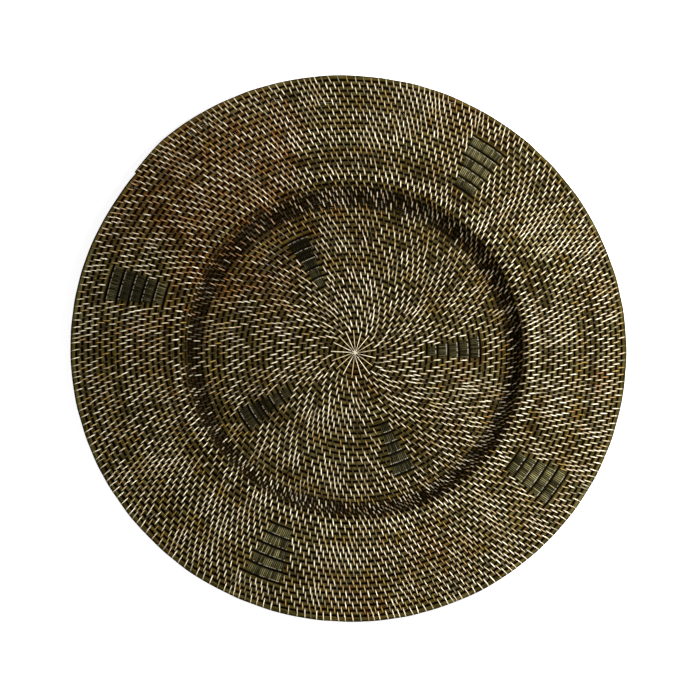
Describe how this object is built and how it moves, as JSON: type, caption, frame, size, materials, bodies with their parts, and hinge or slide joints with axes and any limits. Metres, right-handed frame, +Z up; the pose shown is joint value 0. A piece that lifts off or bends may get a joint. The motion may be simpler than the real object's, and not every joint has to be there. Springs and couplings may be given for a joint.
{
  "type": "charger plate",
  "caption": "Round coiled rattan charger plate with a flat well, a short steep wall and a broad level rim, sewn with split cane and set with close-wound dark motifs.",
  "frame": {"origin": "middle of the plate's outline on the surface that it rests on", "axes": "+Z up out of the well, +Y towards the top of the picture, +X towards its right"},
  "size_m": [0.3264, 0.3288, 0.0143],
  "materials": {
    "core_cane": "smoked dark olive-brown round rattan core, dull",
    "pale_strip": "pale split cane strip, satin",
    "dark_strip": "dark grey-green split cane strip, satin"
  },
  "bodies": {
    "root": {"start_knot": "pale_strip", "centre_rays": "pale_strip", "well_cane_1": "core_cane", "well_cane_2": "core_cane", "well_cane_3": "core_cane", "wall_cane": "core_cane", "rim_cane_1": "core_cane", "rim_cane_2": "core_cane", "rim_cane_3": "core_cane", "rim_cane_4": "core_cane", "rim_cane_5": "core_cane", "start_stitching": "pale_strip", "foot_stitching": "pale_strip", "lip_stitching": "pale_strip", "edge_stitching": "pale_strip", "rim_motif_1": "dark_strip", "rim_motif_2": "dark_strip", "rim_motif_3": "dark_strip", "rim_motif_4": "dark_strip", "well_motif_1": "dark_strip", "well_motif_2": "dark_strip", "well_motif_3": "dark_strip", "well_motif_4": "dark_strip"}
  },
  "joints": []
}
